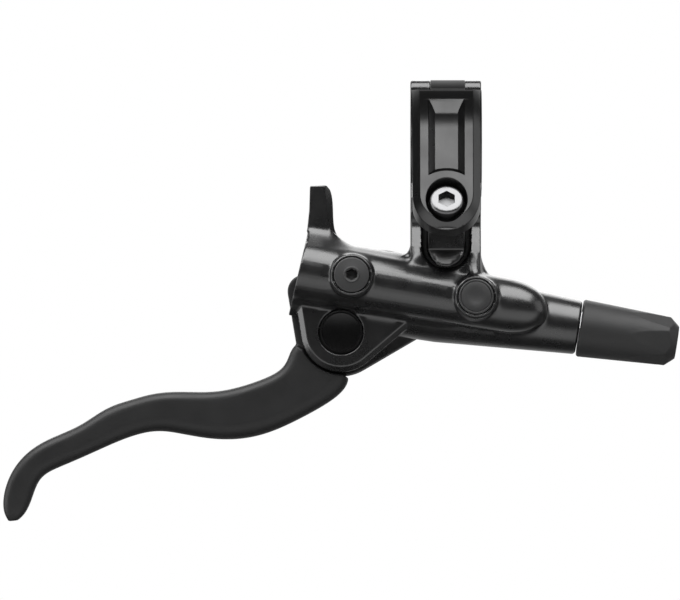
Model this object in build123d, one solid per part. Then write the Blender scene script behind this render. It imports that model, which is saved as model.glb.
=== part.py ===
from build123d import *
import math
import os

# Hydraulic brake lever for the right end of a flat handlebar.
# Frame: X along the handlebar, Y away from the viewer, Z up, origin at the centre of the clamp bore.
# All lengths are in millimetres and all angles in degrees.

# Fits
running_gap = 0.05
press_gap = 0.01
turning_gap = 0.35

# A length that reaches past every piece, for cuts, and how far a cut starts outside its piece
far = 130.0
overlap = 1.0

# Handlebar clamp
bar_radius = 11.1
clamp_half_width = 8.85
clamp_tilt = 33.0
parting_gap = 1.2
ring_radius = 14.0
flange_radius = 13.1
panel_radius = 15.2
panel_tilt = 12.0
panel_half_width = 8.45
panel_reach = 34.0
panel_bevel = 1.8
shoulder_height = 12.7
clamp_root = ((17.34, -1.3), (11.5, -8.0), (9.5, -5.5), (13.54, -1.0))

# Clamp hinge
hinge_reach = 15.44
knuckle_radius = 2.3
hinge_pin_radius = 1.25
band_knuckle_left = -3.75
band_knuckle_right = 4.1
body_knuckle_left = -3.9
body_knuckle_right = 4.7

# Clamp bolt, with its socket head
bolt_reach = 22.5
bolt_core_radius = 2.1
bolt_thread_radius = 2.6
bolt_hole_radius = 2.8
bolt_head_radius = 4.25
bolt_head_height = 5.0
bolt_seat_height = 2.9
bolt_tip_depth = 8.2
bolt_point_length = 1.5
bolt_point_radius = 1.2
bolt_key_flats = 4.0
bolt_key_depth = 2.6
counterbore_radius = 5.15
boss_round_reach = 20.5

# Sunk pocket in the clamp band
pocket_depth = 1.5
pocket_floor_half_width = 2.9
pocket_top = 10.3
pocket_ramp_foot = 7.0
pocket_end_radius = 6.9
pocket_end_slope = 1.1
pocket_overcut = 2.0

# Lever plane and master cylinder axis
lever_plane = 3.5
cylinder_slope = 8.66
outlet_x = 33.25
outlet_z = -46.69
pivot_arm = 10.0
tube_radius = 9.0
outlet_radius = 6.75
taper_start = 23.5
tube_left = -16.0
outlet_length = 58.66
outlet_round = 0.5

# Reservoir tube in front of the cylinder
reservoir_depth = 8.0
reservoir_left_x = -31.5
reservoir_left_z = -33.0
reservoir_slope = 9.93
reservoir_left_radius = 7.5
reservoir_right_radius = 6.7
reservoir_start = -12.0
reservoir_shoulder = 47.0
reservoir_nose = 10.5
nose_fullness = 0.6
chamber_radius = 3.0
chamber_start = 3.0
chamber_length = 39.0

# Bridge between reservoir and cylinder: station, reach ahead, rise, front and rear radius of each section
bridge_sections = (
    (tube_left, reservoir_depth, 3.9, 6.3, tube_radius - 0.3),
    (taper_start, reservoir_depth, 3.1, 5.9, tube_radius - 0.3),
    (44.0, reservoir_depth - 2.5, 2.0, 3.6, outlet_radius + 0.3),
)

# Round caps on the reservoir
cap_tilt = 6.0
bleed_station = 8.0
fill_setback = 2.5
fill_station = chamber_start + chamber_length - fill_setback
cap_boss_radius = 5.6
cap_boss_height = 8.6
cap_radius = 4.4
cap_stand = 0.4
cap_edge = 0.3
cap_gap = 0.1
cap_plug_radius = 2.6
cap_plug_foot = 0.4
cap_seat_depth = 1.1
cap_seal_radius = 3.4
cap_seal_height = 0.8

# Spine with stalk and brace prong; the sweeps are runs out from the stalk's sides, with their heights
stalk_front = -8.5
stalk_back = 13.2
stalk_low = -40.0
stalk_high = 8.0
stalk_draft = 0.2
right_sweep = ((0.0, -26.0), (1.4, -32.4), (3.8, -35.2), (8.5, -37.1))
left_sweep = ((0.0, -25.8), (0.8, -27.8), (3.0, -28.9))
foot_front = -4.5
foot_back = 10.0
prong_front = -3.0
prong_back = 6.0
prong_top = -11.3
prong_left = -34.0
prong_right = -29.0
prong_corner = 0.9
prong_crown = 0.2
prong_foot = -24.3
prong_side = ((-38.0, -36.0), (-36.4, -30.0), (-35.6, -26.0), (-34.7, -22.2), (-34.2, -17.5))
prong_flank = ((-28.1, -20.5), (-27.6, -22.8), (-23.2, -26.5), (-17.0, -27.2), (-11.4, -28.1))
web_front = -1.5
web_back = 7.5
left_end_top_x = -34.5
left_end_top_z = -22.75
left_end_bottom_x = -38.75
left_end_bottom_z = -41.0
left_end_toe_x = -41.35
left_end_toe_z = -52.2

# Recess in the front of the stalk, with the bolt lug standing in it
recess_half_width = 6.2
recess_bottom = -32.2
recess_depth = 3.6
lug_half_width = 4.5
lug_bottom = -31.0
lug_face = -9.6
lug_wall = 1.8
lug_head_reach = 16.0
lug_brow = -27.0
lug_root = -16.0

# Lever pivot
lug_gap_half = 4.2
lug_thickness = 3.4
front_lug_radius = 10.0
rear_lug_radius = 11.2
lug_bevel = 1.4
ear_crown_x = -33.4
ear_crown_z = -41.0
ear_crown_radius = 4.0
front_toe_x = -12.5
front_toe_z = -42.0
front_toe_radius = 5.5
rear_toe_x = -10.5
rear_toe_z = -43.4
rear_toe_radius = 7.0
neck_radius = 5.1
neck_setback = 0.3
neck_run = 3.5
neck_drop = 3.0
neck_reach = 1.0
slot_rise = 7.8
slot_drop = 3.2
pin_radius = 3.0
pin_head_radius = 4.8
pin_head_height = 1.2
pin_recess_radius = 5.7
pin_recess_depth = 1.7
pin_edge = 0.3
pin_dimple_radius = 2.6
pin_dimple_depth = 0.3
bush_radius = 4.0
bush_flange_radius = 4.8
bush_flange = 0.6
bush_half_gap = 0.4
circlip_thickness = 0.8
circlip_radius = 4.4
circlip_groove = 0.5
circlip_mouth = 4.0
pin_end = 0.7

# Lever
tongue_half = 4.0
eye_radius = 5.8
arm_radius = 3.6
lobe_x = -35.4
lobe_z = -37.6
lobe_radius = 4.2
heel_x = -33.0
heel_z = -49.5
heel_radius = 4.6
blade_gap = 0.45

# Lever blade, from tip to root: its two edges in shares of its reach and drop from the pivot,
# then its thickness and the rounding of each edge
blade_reach = 84.5
blade_drop = 47.4
blade_stations = (
    ((0.9841, 0.9991), (0.9580, 0.9949), 4.0, 0.9, 0.9),
    ((0.9994, 0.9295), (0.9237, 0.9168), 7.0, 2.0, 2.6),
    ((0.9805, 0.7628), (0.8965, 0.7944), 8.6, 2.2, 3.2),
    ((0.9438, 0.6657), (0.8752, 0.7522), 9.2, 2.2, 3.2),
    ((0.8598, 0.5624), (0.8207, 0.7037), 9.8, 2.2, 3.2),
    ((0.7426, 0.4590), (0.7024, 0.6109), 10.0, 2.2, 3.2),
    ((0.6243, 0.3598), (0.5923, 0.5370), 10.0, 2.2, 3.4),
    ((0.5355, 0.3219), (0.5273, 0.5244), 10.0, 2.2, 3.6),
    ((0.4172, 0.3176), (0.4231, 0.5539), 10.0, 2.2, 3.8),
    ((0.3142, 0.2965), (0.2906, 0.5624), 10.4, 2.2, 4.0),
    ((0.2243, 0.2438), (0.1722, 0.5012), 11.0, 2.2, 4.0),
    ((0.1687, 0.1784), (0.0681, 0.4062), 11.0, 2.2, 4.0),
    ((0.1344, 0.0687), (-0.0219, 0.2438), 11.0, 2.2, 4.0),
)

# Push rod and reach adjuster, in stations along the cylinder axis from the foot of the pivot
trunnion_station = -6.5
trunnion_radius = 2.45
trunnion_boss_radius = 4.0
trunnion_half_length = 3.7
rod_radius = 1.7
rod_length = 13.0
rod_ball_radius = 2.0
rod_tail = 4.6
rod_key_flats = 2.0
rod_key_depth = 2.0
ball_gap = 0.35
rod_swing = 13.0

# Piston and its pieces
bore_radius = 4.5
bore_start = 3.1
bore_end = 40.0
piston_gap = 0.1
piston_start = 4.6
piston_length = 19.4
stop_ring_start = 3.7
stop_ring_thickness = 0.8
stop_ring_inner = 3.2
stop_ring_groove = 0.4
stop_ring_mouth = 2.4
seal_groove_radius = 3.3
seal_length = 2.2
primary_seal_station = piston_start + piston_length - 4.5
secondary_seal_station = piston_start + 5.0
spring_wire = 0.45
spring_radius = 3.4
spring_pitch = 2.6
spring_end_gap = 0.05

# Hose outlet
outlet_hole_radius = 1.5
fitting_seat_start = 46.0
fitting_radius = 4.0
fitting_start = 49.6
fitting_hex_length = 4.6
fitting_flats = 8.0
hose_radius = 2.55
olive_length = 3.4
olive_radius = 3.5
cover_gap = 0.25
cover_length = 24.6
cover_left_radius = 7.2
cover_right_radius = 6.1
cover_end_radius = 4.4
cover_end_length = 2.4
cover_edge = 0.4
cover_wall = 1.6
cover_bore_radius = 2.75
cover_cavity_length = 6.0
cover_flat_start = 13.0
cover_flat_taper = 6.5

# Directions and planes shared by the pieces
slope_cos = math.cos(math.radians(cylinder_slope))
slope_sin = math.sin(math.radians(cylinder_slope))
tilt_cos = math.cos(math.radians(clamp_tilt))
tilt_sin = math.sin(math.radians(clamp_tilt))
half_gap = parting_gap / 2
axis_forward = Vector(slope_cos, 0, -slope_sin)
axis_up = Vector(slope_sin, 0, slope_cos)
outlet_end = Vector(outlet_x, lever_plane, outlet_z)
axis_foot = outlet_end - axis_forward * outlet_length
pivot = axis_foot - axis_up * pivot_arm
cylinder_plane = Plane(axis_foot, x_dir=(0, 1, 0), z_dir=axis_forward)
front_plane = Plane((0, 0, 0), x_dir=(1, 0, 0), z_dir=(0, -1, 0))
clamp_plane = Plane((0, 0, 0), x_dir=(0, tilt_sin, tilt_cos), z_dir=(1, 0, 0))
bolt_plane = Plane(
    (0, -bolt_reach * tilt_sin, -bolt_reach * tilt_cos), x_dir=(1, 0, 0), z_dir=(0, -tilt_cos, tilt_sin)
)
reservoir_angle = math.radians(reservoir_slope)
reservoir_plane = Plane(
    (reservoir_left_x, lever_plane - reservoir_depth, reservoir_left_z),
    x_dir=(0, 1, 0),
    z_dir=(math.cos(reservoir_angle), 0, -math.sin(reservoir_angle)),
)
trunnion_plane = cylinder_plane.offset(trunnion_station)
pivot_plane = Plane((pivot.X, lever_plane, pivot.Z), x_dir=(1, 0, 0), z_dir=(0, -1, 0))
lug_front = lug_gap_half + lug_thickness
panel_lean = math.radians(clamp_tilt - panel_tilt)


def outline(*points):
    """A flat outline with straight sides."""
    return make_face(Polyline(*points, close=True))


def turned(plane, profile):
    """Revolves a closed profile of (radius, height) points about the plane's normal."""
    section = Plane(plane.origin, x_dir=plane.x_dir, z_dir=-plane.y_dir)
    return revolve(section * outline(*profile), Axis(plane.origin, plane.z_dir))


def rod(plane, radius, start, end):
    """A cylinder about the plane's normal between two heights."""
    return extrude(plane.offset(start) * Circle(radius), amount=end - start)


def tube(plane, inner, outer, start, end):
    """A plain ring about the plane's normal between two heights."""
    return extrude(plane.offset(start) * (Circle(outer) - Circle(inner)), amount=end - start)


def slab(sketch, front, back):
    """Extrudes an X, Z outline between two depths."""
    return extrude(front_plane.offset(-back) * sketch, amount=back - front, dir=front_plane.z_dir)


def across(sketch, left, right):
    """Extrudes an outline of the clamp's side view between two places along the bar."""
    return extrude(clamp_plane.offset(left) * sketch, amount=right - left, dir=clamp_plane.z_dir)


def disc(x, z, radius):
    """A circle at a place in the X, Z view."""
    return Pos(x, z) * Circle(radius)


def hull_of(*discs):
    """The outline that a tight band round some circles makes."""
    band = make_hull([edge for piece in discs for edge in piece.edges()])
    return make_face(band.face().outer_wire().edges())


def cap_plane(station):
    """The frame of a round cap: its axis leaves the reservoir axis towards the viewer."""
    centre = reservoir_plane.offset(station).origin
    angle = math.radians(cap_tilt)
    return Plane(centre, x_dir=(1, 0, 0), z_dir=(0, -math.cos(angle), math.sin(angle)))


def reservoir_radius(station):
    """Outer radius of the reservoir tube at a station along it."""
    share = station / reservoir_shoulder
    return reservoir_left_radius + (reservoir_right_radius - reservoir_left_radius) * share


def cylinder_tube():
    """The tapered tube round the master cylinder, from the lever to the hose outlet."""
    profile = [
        (0, tube_left),
        (tube_radius, tube_left),
        (tube_radius, taper_start),
        (outlet_radius, outlet_length - outlet_round),
        (outlet_radius - outlet_round, outlet_length),
        (0, outlet_length),
    ]
    return turned(cylinder_plane, profile)


def reservoir_tube():
    """The reservoir: a slightly tapered tube that ends in a blunt rounded nose."""
    tip = reservoir_shoulder + reservoir_nose
    section = Plane(reservoir_plane.origin, x_dir=reservoir_plane.x_dir, z_dir=-reservoir_plane.y_dir)
    side = Polyline(
        (0, tip),
        (0, reservoir_start),
        (reservoir_radius(reservoir_start), reservoir_start),
        (reservoir_right_radius, reservoir_shoulder),
    )
    nose = Bezier(
        (reservoir_right_radius, reservoir_shoulder),
        (reservoir_right_radius, reservoir_shoulder + nose_fullness * reservoir_nose),
        (nose_fullness * reservoir_right_radius, tip),
        (0, tip),
    )
    face = make_face(section * (side + nose))
    return revolve(face, Axis(reservoir_plane.origin, reservoir_plane.z_dir))


def tube_bridge():
    """Fills the valley between the reservoir and the cylinder tube, and runs out towards the outlet."""
    sections = []
    for station, ahead, rise, front_radius, rear_radius in bridge_sections:
        band = hull_of(disc(-ahead, rise, front_radius), disc(0, 0, rear_radius))
        sections.append(cylinder_plane.offset(station) * band)
    return loft(sections, ruled=True)


def stalk():
    """The stalk between the cylinder and the clamp, with a foot swept in on each side."""
    left = -clamp_half_width
    right = clamp_half_width - stalk_draft
    column = outline((left, stalk_low), (right, stalk_low), (right, stalk_high), (left, stalk_high))
    block = slab(column, stalk_front, stalk_back)
    foot = slab(swept_foot([(right + run, height) for run, height in right_sweep]), foot_front, foot_back)
    foot += slab(swept_foot([(left - run, height) for run, height in left_sweep]), foot_front, foot_back)
    behind = Pos(0, -half_gap - far / 2) * Rectangle(2 * far, far)
    return (block + foot) & across(behind, -far, far)


def swept_foot(sweep):
    """The outline under a curve that leaves the stalk's side."""
    first = sweep[0]
    last = sweep[-1]
    under = Polyline(last, (last[0], stalk_low), (0, stalk_low), (0, first[1]), first)
    return make_face(Spline(*sweep) + under)


def clamp_back():
    """The half of the clamp that is cast with the body, with its two hinge knuckles."""
    behind = Pos(0, -half_gap - far / 2) * Rectangle(2 * far, far)
    ring = across(Circle(ring_radius) & behind, -clamp_half_width, clamp_half_width)
    root = outline(*clamp_root)
    knuckle = Pos(hinge_reach, 0) * Circle(knuckle_radius)
    ears = across(knuckle + root, -clamp_half_width, body_knuckle_left)
    ears += across(knuckle + root, body_knuckle_right, clamp_half_width)
    return ring + ears


def brace():
    """The prong that steadies the body against the bar, and the web that joins it to the stalk."""
    shoulder = (prong_right, prong_top - prong_corner)
    peak = (prong_left, prong_top)
    side = Polyline(*prong_side, peak)
    crown = Polyline(peak, (prong_right - prong_corner, prong_top + prong_crown), shoulder)
    flank = Spline(shoulder, *prong_flank)
    last = prong_flank[-1]
    first = prong_side[0]
    close = Polyline(last, (last[0], stalk_low), (first[0], stalk_low), first)
    shape = make_face(side + crown + flank + close)
    above = Pos(0, prong_foot) * Rectangle(2 * far, far, align=(Align.CENTER, Align.MIN))
    ahead = Pos(prong_left, 0) * Rectangle(4 * (prong_right - prong_left), far)
    prong = slab(shape & above & ahead, prong_front, prong_back)
    return prong + slab(shape, web_front, web_back)


def pivot_lugs():
    """The two ears that carry the lever's pivot, with bevelled outer faces, and the neck between them."""
    def ear(radius, toe):
        return hull_of(disc(pivot.X, pivot.Z, radius), toe, disc(ear_crown_x, ear_crown_z, ear_crown_radius))

    front_flat = lever_plane - lug_gap_half
    rear_flat = lever_plane + lug_gap_half
    front_toe = disc(front_toe_x, front_toe_z, front_toe_radius)
    rear_toe = disc(rear_toe_x, rear_toe_z, rear_toe_radius)
    front = slab(ear(front_lug_radius, front_toe), front_flat - lug_thickness, front_flat)
    front = chamfer(front.edges().group_by(Axis.Y)[0], lug_bevel)
    rear = slab(ear(rear_lug_radius, rear_toe), rear_flat, rear_flat + lug_thickness)
    rear = chamfer(rear.edges().group_by(Axis.Y)[-1], lug_bevel)
    neck_x = front_toe_x - neck_setback
    neck = hull_of(
        disc(neck_x, front_toe_z, neck_radius),
        disc(neck_x - neck_run, front_toe_z - neck_drop, neck_radius),
    )
    return front + rear + slab(neck, front_flat - lug_thickness + lug_bevel, rear_flat + neck_reach)


def bolt_lug():
    """The lug that takes the clamp bolt, standing in the recess of the stalk."""
    def place(reach, height):
        point = clamp_plane.from_local_coords(Vector(-reach, height, 0))
        return (point.Y, point.Z)

    toe = bolt_reach + bolt_thread_radius + lug_wall
    side = outline(
        place(lug_head_reach, -half_gap),
        place(toe, -half_gap),
        (lug_face, lug_brow),
        (lug_face, lug_bottom),
        (0, lug_bottom),
        (0, lug_root),
    )
    block = extrude(Plane.YZ.offset(-lug_half_width) * side, amount=2 * lug_half_width)
    end = slab(round_ended(lug_half_width, lug_bottom), -far, far)
    return block & end


def round_ended(half_width, bottom, top=0.0):
    """An outline with straight sides and a half-round lower end."""
    straight = Rectangle(2 * half_width, top - bottom - half_width, align=(Align.CENTER, Align.MAX))
    return Pos(0, top) * straight + disc(0, bottom + half_width, half_width)


def lever_slot():
    """The space between the ears in which the lever's tongue swings."""
    face = cylinder_plane.offset(bore_start).origin
    high = face + axis_up * slot_rise
    low = face - axis_up * slot_drop
    space = outline(
        (-far, high.Z),
        (high.X, high.Z),
        (low.X, low.Z),
        (low.X, pivot.Z),
        (pivot.X + eye_radius + turning_gap, pivot.Z),
        (pivot.X + eye_radius + turning_gap, -far),
        (-far, -far),
    )
    swing = disc(pivot.X, pivot.Z, eye_radius + turning_gap)
    return slab(space + swing, lever_plane - lug_gap_half, lever_plane + lug_gap_half)


def left_end_cut():
    """What lies beyond the slanted left end of the body."""
    beyond = outline(
        (left_end_top_x, left_end_top_z),
        (left_end_bottom_x, left_end_bottom_z),
        (left_end_toe_x, left_end_toe_z),
        (-far, left_end_toe_z),
        (-far, left_end_top_z),
    )
    return slab(beyond, -far, far)


def cylinder_hollows():
    """The bore, its ring groove, the outlet drilling and the seat of the hose fitting."""
    bore = rod(cylinder_plane, bore_radius, bore_start - overlap, bore_end)
    groove_radius = bore_radius + stop_ring_groove
    groove_end = stop_ring_start + stop_ring_thickness + 2 * running_gap
    groove = rod(cylinder_plane, groove_radius, stop_ring_start, groove_end)
    drilling = rod(cylinder_plane, outlet_hole_radius, bore_end - overlap, fitting_seat_start + overlap)
    seat = rod(cylinder_plane, fitting_radius + running_gap, fitting_seat_start, outlet_length + overlap)
    return bore + groove + drilling + seat


def cap_hollows(station):
    """The counterbore and plug hole of a round cap."""
    plane = cap_plane(station)
    seat = rod(plane, cap_radius + cap_gap, cap_boss_height - cap_seat_depth, cap_boss_height + 2 * overlap)
    hole = rod(plane, cap_plug_radius + running_gap, 0, cap_boss_height)
    ring_seat = cap_boss_height - cap_seat_depth - cap_seal_height - press_gap
    return seat + hole + rod(plane, cap_seal_radius + press_gap, ring_seat, cap_boss_height)


def master_cylinder_body():
    """The cast body: cylinder, reservoir, stalk, clamp half, brace prong and pivot ears in one piece."""
    body = cylinder_tube() + tube_bridge() + reservoir_tube() + brace() + stalk()
    recess = round_ended(recess_half_width, recess_bottom)
    body -= slab(recess, stalk_front - far, stalk_front + recess_depth)
    body += clamp_back() + bolt_lug() + pivot_lugs()
    for station in (bleed_station, fill_station):
        body += rod(cap_plane(station), cap_boss_radius, 0, cap_boss_height)
    body -= left_end_cut()
    body -= lever_slot()
    body -= cylinder_hollows()
    body -= rod(reservoir_plane, chamber_radius, chamber_start, chamber_start + chamber_length)
    for station in (bleed_station, fill_station):
        body -= cap_hollows(station)
    body -= across(Circle(bar_radius), -far, far)
    clear = Pos(hinge_reach, 0) * Circle(knuckle_radius + turning_gap)
    body -= across(clear, body_knuckle_left, body_knuckle_right)
    body -= across(Pos(hinge_reach, 0) * Circle(hinge_pin_radius + press_gap), -far, far)
    body -= rod(bolt_plane, bolt_thread_radius, -bolt_tip_depth - overlap, far)
    body -= rod(pivot_plane, pin_radius + press_gap, -far, lug_front)
    body -= rod(pivot_plane, pin_recess_radius, lug_front - pin_recess_depth, lug_front + overlap)
    return body - rod(pivot_plane, circlip_radius + turning_gap, -far, -lug_front)


def panel_outline(sink):
    """Side view of the clamp band's raised face, sunk by some depth: a round top and a flat tongue."""
    radius = panel_radius - sink
    lean_sin = math.sin(panel_lean)
    lean_cos = math.cos(panel_lean)
    touch = (-radius * lean_sin, radius * lean_cos)
    tip = (-panel_reach, (radius - panel_reach * lean_sin) / lean_cos)
    return Circle(radius) + outline((0, 0), touch, tip, (tip[0], 0))


def panel_rim(solid, sink):
    """The edges along both sides and round the end of a face made with panel_outline."""
    radius = panel_radius - sink
    near = 0.02
    rim = []
    for edge in solid.edges():
        place = clamp_plane.to_local_coords(edge.position_at(0.5))
        on_round = abs(math.hypot(place.X, place.Y) - radius) < near
        on_flat = abs(place.Y * math.cos(panel_lean) - place.X * math.sin(panel_lean) - radius) < near
        along_side = abs(place.Z) > overlap or place.X < -bolt_reach
        if (on_round or on_flat) and along_side:
            rim.append(edge)
    return rim


def band_pocket():
    """The sunk pocket of the clamp band: sloped sides, a ramp at the top and a round end at the bolt."""
    half_width = pocket_floor_half_width + pocket_depth
    rim = panel_outline(-pocket_overcut) - panel_outline(pocket_depth)
    pocket = across(rim, -half_width, half_width)
    floor_radius = panel_radius - pocket_depth
    foot = (-math.sqrt(floor_radius**2 - pocket_ramp_foot**2), pocket_ramp_foot)
    head = (-math.sqrt(panel_radius**2 - pocket_top**2), pocket_top)
    over = (2 * head[0] - foot[0], 2 * head[1] - foot[1])
    inside = -bar_radius / 2
    keep = outline(over, foot, (inside, 0), (inside, -far), (-far, -far), (-far, over[1]))
    pocket = pocket & extrude(Plane.YZ.offset(-far) * keep, amount=2 * far)
    level = (panel_radius + (pocket_end_radius - bolt_reach) * math.sin(panel_lean)) / math.cos(panel_lean)
    low = level - 4 * pocket_depth
    high = level + 1.5 * pocket_depth
    cone = [
        (0, low),
        (pocket_end_radius + (level - low) * pocket_end_slope, low),
        (pocket_end_radius + (level - high) * pocket_end_slope, high),
        (0, high),
    ]
    pocket = pocket - turned(bolt_plane, cone)
    return chamfer(panel_rim(pocket, pocket_depth), pocket_depth - running_gap)


def clamp_band():
    """The hinged front half of the clamp, with its raised panel, sunk pocket and bolt boss."""
    ahead = Pos(0, half_gap + far / 2) * Rectangle(2 * far, far)
    panel = across(panel_outline(0) & ahead, -panel_half_width, panel_half_width)
    lift = bolt_reach - boss_round_reach
    straight = Rectangle(2 * panel_half_width, far, align=(Align.CENTER, Align.MIN))
    boss = Pos(0, lift) * (Circle(panel_half_width) + straight)
    panel = panel & extrude(bolt_plane.offset(-far / 2) * boss, amount=far)
    panel = chamfer(panel_rim(panel, 0), panel_bevel)
    flange = across(Circle(flange_radius) & ahead, -clamp_half_width, clamp_half_width)
    band = panel + flange
    band -= across(Circle(bar_radius), -far, far)
    for left, right in ((-far, body_knuckle_left), (body_knuckle_right, far)):
        shoulder = outline((-far, shoulder_height), (far, shoulder_height), (far, far), (-far, far))
        band -= extrude(Plane.YZ.offset(left) * shoulder, amount=right - left)
        clear = Pos(hinge_reach, 0) * Circle(knuckle_radius + turning_gap)
        band -= across(clear, left, right)
    band -= across(Pos(hinge_reach, 0) * Circle(knuckle_radius), band_knuckle_right, body_knuckle_right)
    band -= across(Pos(hinge_reach, 0) * Circle(knuckle_radius), body_knuckle_left, band_knuckle_left)
    band += across(Pos(hinge_reach, 0) * Circle(knuckle_radius), band_knuckle_left, band_knuckle_right)
    band -= across(Pos(hinge_reach, 0) * Circle(hinge_pin_radius + running_gap), -far, far)
    band -= band_pocket()
    band -= rod(bolt_plane, bolt_hole_radius, -overlap, far)
    band -= rod(bolt_plane, counterbore_radius, bolt_seat_height, far)
    return band


def clamp_hinge_pin():
    """The plain pin of the clamp hinge."""
    return across(Pos(hinge_reach, 0) * Circle(hinge_pin_radius), -clamp_half_width, clamp_half_width)


def clamp_bolt():
    """Socket head clamp bolt, drawn at the core of its thread, with a pointed end."""
    top = bolt_seat_height + bolt_head_height
    edge = 0.5
    profile = [
        (0, -bolt_tip_depth),
        (bolt_point_radius, -bolt_tip_depth),
        (bolt_core_radius, -bolt_tip_depth + bolt_point_length),
        (bolt_core_radius, bolt_seat_height),
        (bolt_head_radius, bolt_seat_height),
        (bolt_head_radius, top - edge),
        (bolt_head_radius - edge, top),
        (0, top),
    ]
    key = RegularPolygon(bolt_key_flats / 2, 6, major_radius=False)
    socket = extrude(bolt_plane.offset(top - bolt_key_depth) * key, amount=bolt_key_depth + overlap)
    return turned(bolt_plane, profile) - socket


def round_cap(station):
    """A round cap that plugs the reservoir: a wide thin head on a short plug."""
    plane = cap_plane(station)
    seat = cap_boss_height - cap_seat_depth
    top = cap_boss_height + cap_stand
    foot = chamber_radius + cap_plug_foot
    profile = [
        (0, foot),
        (cap_plug_radius, foot),
        (cap_plug_radius, seat),
        (cap_radius, seat),
        (cap_radius, top - cap_edge),
        (cap_radius - cap_edge, top),
        (0, top),
    ]
    return turned(plane, profile), plane.offset(top)


def bleed_screw():
    """The bleed screw: a round cap with a small raised ring and a hexagon socket."""
    ring_radius_out = 1.6
    ring_height = 0.2
    key_flats = 2.0
    key_depth = 2.0
    screw, face = round_cap(bleed_station)
    screw += rod(face, ring_radius_out, -ring_height, ring_height)
    key = RegularPolygon(key_flats / 2, 6, major_radius=False)
    return screw - extrude(face.offset(-key_depth) * key, amount=key_depth + overlap)


def reservoir_cap():
    """The cap at the reservoir's other end: a round cap with a ring groove and a shallow dimple."""
    groove_inner = 3.3
    groove_outer = 3.7
    groove_depth = 0.25
    dimple_radius = 1.5
    cap, face = round_cap(fill_station)
    cap -= tube(face, groove_inner, groove_outer, -groove_depth, overlap)
    return cap - rod(face, dimple_radius, -groove_depth, overlap)


def cap_seal(station):
    """The rubber ring under a round cap's head."""
    plane = cap_plane(station)
    seat = cap_boss_height - cap_seat_depth
    ring = tube(plane, cap_plug_radius + running_gap, cap_seal_radius, seat - cap_seal_height, seat)
    return fillet(ring.edges(), cap_seal_height / 3)


def reservoir_bladder():
    """The rubber bladder that divides the reservoir: a thin tube closed at its left end."""
    wall = 0.5
    outer = chamber_radius - turning_gap
    start = chamber_start + turning_gap
    end = chamber_start + chamber_length - turning_gap
    profile = [
        (0, start),
        (outer, start),
        (outer, end),
        (outer - wall, end),
        (outer - wall, start + wall),
        (0, start + wall),
    ]
    return turned(reservoir_plane, profile)


def lever_pivot_pin():
    """The headed pin that the lever turns on, with a groove for its circlip."""
    seat = lug_front - pin_recess_depth
    clip = -lug_front - circlip_thickness - running_gap
    top = seat + pin_head_height
    profile = [
        (0, clip - pin_end),
        (pin_radius - pin_edge, clip - pin_end),
        (pin_radius, clip - pin_end + pin_edge),
        (pin_radius, clip),
        (pin_radius - circlip_groove, clip),
        (pin_radius - circlip_groove, -lug_front),
        (pin_radius, -lug_front),
        (pin_radius, seat),
        (pin_head_radius, seat),
        (pin_head_radius, top - pin_edge),
        (pin_head_radius - pin_edge, top),
        (pin_dimple_radius, top),
        (pin_dimple_radius - pin_edge, top - pin_dimple_depth),
        (0, top - pin_dimple_depth),
    ]
    return turned(pivot_plane, profile)


def pivot_circlip():
    """The open spring ring that keeps the pivot pin in."""
    inner = pin_radius - circlip_groove + press_gap
    start = -lug_front - circlip_thickness
    ring = tube(pivot_plane, inner, circlip_radius, start, -lug_front)
    opening = Pos(0, -circlip_radius) * Rectangle(circlip_mouth, 2 * circlip_radius)
    return ring - extrude(pivot_plane.offset(start) * opening, amount=circlip_thickness)


def pivot_bush(side):
    """A flanged bush pressed into one side of the lever's eye; side is 1 at the front, -1 at the back."""
    flat = tongue_half * side
    bore = pin_radius + running_gap
    ring = tube(pivot_plane, bore, bush_radius, *sorted((flat, bush_half_gap * side)))
    rim = tube(pivot_plane, bore, bush_flange_radius, *sorted((flat, flat - bush_flange * side)))
    return ring + rim


def blade_section(top, bottom, thickness, top_round, bottom_round):
    """A cross-section of the lever blade between its edge on the bar side and its edge on the finger side."""
    width = math.hypot(bottom[0] - top[0], bottom[1] - top[1])
    across_blade = Vector((top[0] - bottom[0]) / width, 0, (top[1] - bottom[1]) / width)
    centre = Vector((top[0] + bottom[0]) / 2, lever_plane, (top[1] + bottom[1]) / 2)
    plane = Plane(centre, x_dir=(0, 1, 0), z_dir=Vector(0, 1, 0).cross(across_blade))
    side = thickness / 2
    high = width / 2
    corners = ((-side, -high), (side, -high), (side, high), (-side, high))
    rounds = [bottom_round, bottom_round, top_round, top_round]
    wire = FilletPolyline(*corners, radius=rounds, close=True)
    return plane * make_face(wire)


def blade():
    """The two-finger blade: one loft from the hooked tip to the root round the pivot."""
    sections = []
    for top, bottom, thickness, top_round, bottom_round in blade_stations:
        high = (pivot.X - blade_reach * top[0], pivot.Z - blade_drop * top[1])
        low = (pivot.X - blade_reach * bottom[0], pivot.Z - blade_drop * bottom[1])
        sections.append(blade_section(high, low, thickness, top_round, bottom_round))
    return loft(sections)


def rod_passage():
    """The way through the lever's upper arm for the push rod and its key, wide enough for its swing."""
    reach = 9.0
    half_slot = rod_radius + turning_gap
    passage = None
    for angle in (0.0, rod_swing / 2, rod_swing):
        bar = Box(2 * half_slot, 2 * half_slot, 2 * reach)
        turned_bar = trunnion_plane * Rot(-angle, 0, 0) * bar
        passage = turned_bar if passage is None else passage + turned_bar
    return passage


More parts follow.
